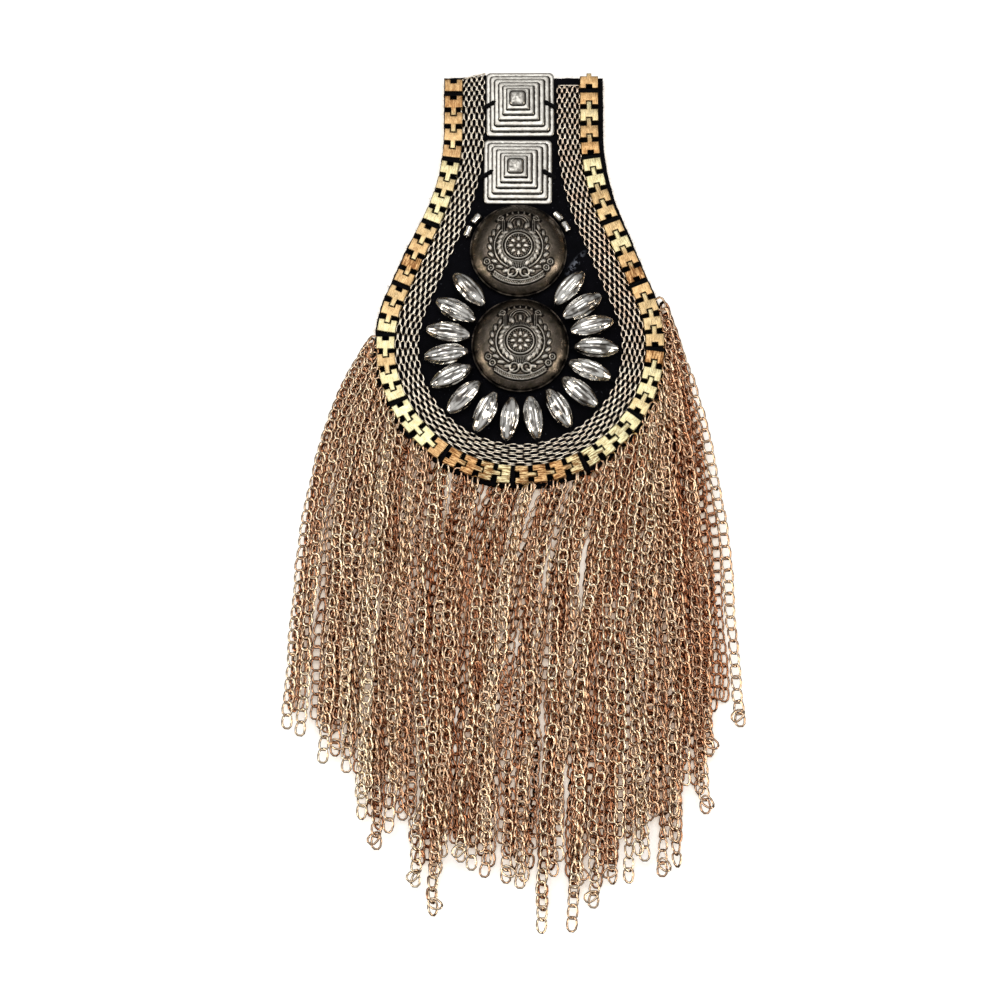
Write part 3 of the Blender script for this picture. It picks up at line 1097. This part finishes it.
for number in range(strand_count):
    middles, headings = strand_links(number)
    count = len(middles)
    along = np.arange(count) / fringe_random.uniform(8.0, 16.0)
    loose = np.interp(abs(strand_tips[number][0]), [40.0, 54.0], [1.0, 0.35])
    roll = fringe_random.normal(0, 30) + 40 * np.sin(2 * np.pi * (along + fringe_random.random()))
    roll = np.radians(loose * roll + fringe_random.normal(0, 7, count))
    roll *= np.interp(np.arange(count), [count - 4, count - 1], [1.0, 0.35])
    across, upward = square_to(headings)
    cos, sin = np.cos(roll)[:, None], np.sin(roll)[:, None]
    axes = np.stack([across * cos + upward * sin, headings, upward * cos - across * sin], 1)
    points = middles[:, None] + one_link @ axes
    points[..., 2] = np.maximum(points[..., 2], 0.02)
    tone = layer_tone[strand_layer[number]] + fringe_random.normal(0, 0.12)
    tone = np.clip(tone + fringe_random.normal(0, 0.12, count), 0, 1)
    layer_points[strand_layer[number]].append(points)
    layer_tones[strand_layer[number]].append(np.repeat(tone, link_points))
for name, points, tones in zip(layer_names, layer_points, layer_tones):
    points = np.vstack(points)
    faces = [repeated(link_faces, len(points), link_points)]
    tones = {"tone": np.concatenate(tones)}
    chains = add_piece(f"chain_fringe_{name}", points.reshape(-1, 3), faces, chain_finish, tones)
    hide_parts("chain_fringe")


# Stitches: black doubled thread that ties the plates at each side, crosses the strap in the gaps
# between its runs, and runs through each bead to be sewn down at both of its ends.
thread_finish, thread_tree, thread_surface = new_finish(
    "black_thread", {"Roughness": 0.9, "Specular IOR Level": 0.1}
)
thread_color = add_mottle(thread_tree, 0.4, 2.0, (0.0015, 0.0015, 0.002), (0.008, 0.008, 0.010))
feed(thread_surface, "Base Color", thread_color.outputs["Color"])


stitch_step = 0.21


def twisted_pair(line, ply, twist):
    """Two plies that wind round a line: each point is the line's own plus a turning step square to it."""
    lengths = lengths_along(line)
    places = np.linspace(0, lengths[-1], max(int(lengths[-1] / stitch_step), 10))
    middles = place_along(places, lengths, line).T
    ahead = np.gradient(middles, axis=0)
    ahead /= np.linalg.norm(ahead, axis=1, keepdims=True)
    across, upward = square_to(ahead)
    turn = 2 * np.pi * places[:, None] / twist + np.array([0.0, np.pi])[:, None, None]
    return middles + ply * (across * np.cos(turn) + upward * np.sin(turn))


stitch_points = []
stitch_faces = {4: [], 5: []}


def sew(line, ply=0.13, twist=0.9):
    """Adds one stitch of two twisted plies along a line of points."""
    pair = twisted_pair(np.array(line, float), ply, twist)
    first = sum(len(skin) for skin in stitch_points)
    stitch_points.append(thread_skin(pair, ply * 1.15, ply * 1.15, 5).reshape(-1, 3))
    for faces in thread_faces(2, pair.shape[1], 5):
        stitch_faces[faces.shape[1]].append(first + faces)


plate_stitch = (
    # (reach from the plate's middle, height)
    (9.3, 2.5), (9.1, 3.4), (8.6, 3.8), (7.9, 3.85), (7.4, 4.4), (6.9, 4.6), (6.5, 4.6), (6.4, 4.2),
)  # fmt: skip
for x, y, tilt in ((0.1, 65.1, 0.35), (-0.5, 46.1, 0.4)):
    for side in (-1, 1):
        line = [(x + side * reach, y - 0.7 + tilt * (8.9 - reach), height) for reach, height in plate_stitch]
        sew(line, 0.3, 1.5)
bar_stitch = (
    # (reach from the strap's middle, height)
    (-2.4, 2.3), (-2.35, 3.0), (-2.1, 3.45), (0.0, 3.6), (2.1, 3.45), (2.4, 3.0), (2.5, 2.4),
)  # fmt: skip
gap_middle = 0.0
for blocks in run_blocks[:-1]:
    gap_middle += blocks * block_length + (blocks - 1) * tongue_gap
    spot = place_along(gap_middle + block_run_gap / 2, strap_travel, strap_line)
    way = place_along(gap_middle + block_run_gap / 2, strap_travel, strap_heading)
    square = np.array([-way[1], way[0]])
    for aside in (-0.32, 0.0, 0.32):
        line = [(*(spot + aside * way + square * reach), height) for reach, height in bar_stitch]
        sew(line, 0.1, 1.1)
    gap_middle += block_run_gap
for spot, angle, length in bead_spots:
    way = np.array([np.cos(angle), np.sin(angle)])
    top = spot[2]
    end = length / 2
    fall = top - 2.35
    one_end = [
        (end - 0.4, top),
        (end + 0.15, top - 0.12 * fall),
        (end + 0.25 * fall, top - 0.6 * fall),
        (end + 0.25 * fall + 0.2, 2.3),
    ]
    both = [(-reach, height) for reach, height in one_end[::-1]] + one_end
    line = [(spot[0] + way[0] * reach, spot[1] + way[1] * reach, height) for reach, height in both]
    sew(line, 0.11, 1.2)
stitch_sets = [np.vstack(faces) for faces in stitch_faces.values()]
stitches = add_piece("thread_stitches", np.vstack(stitch_points), stitch_sets, thread_finish)
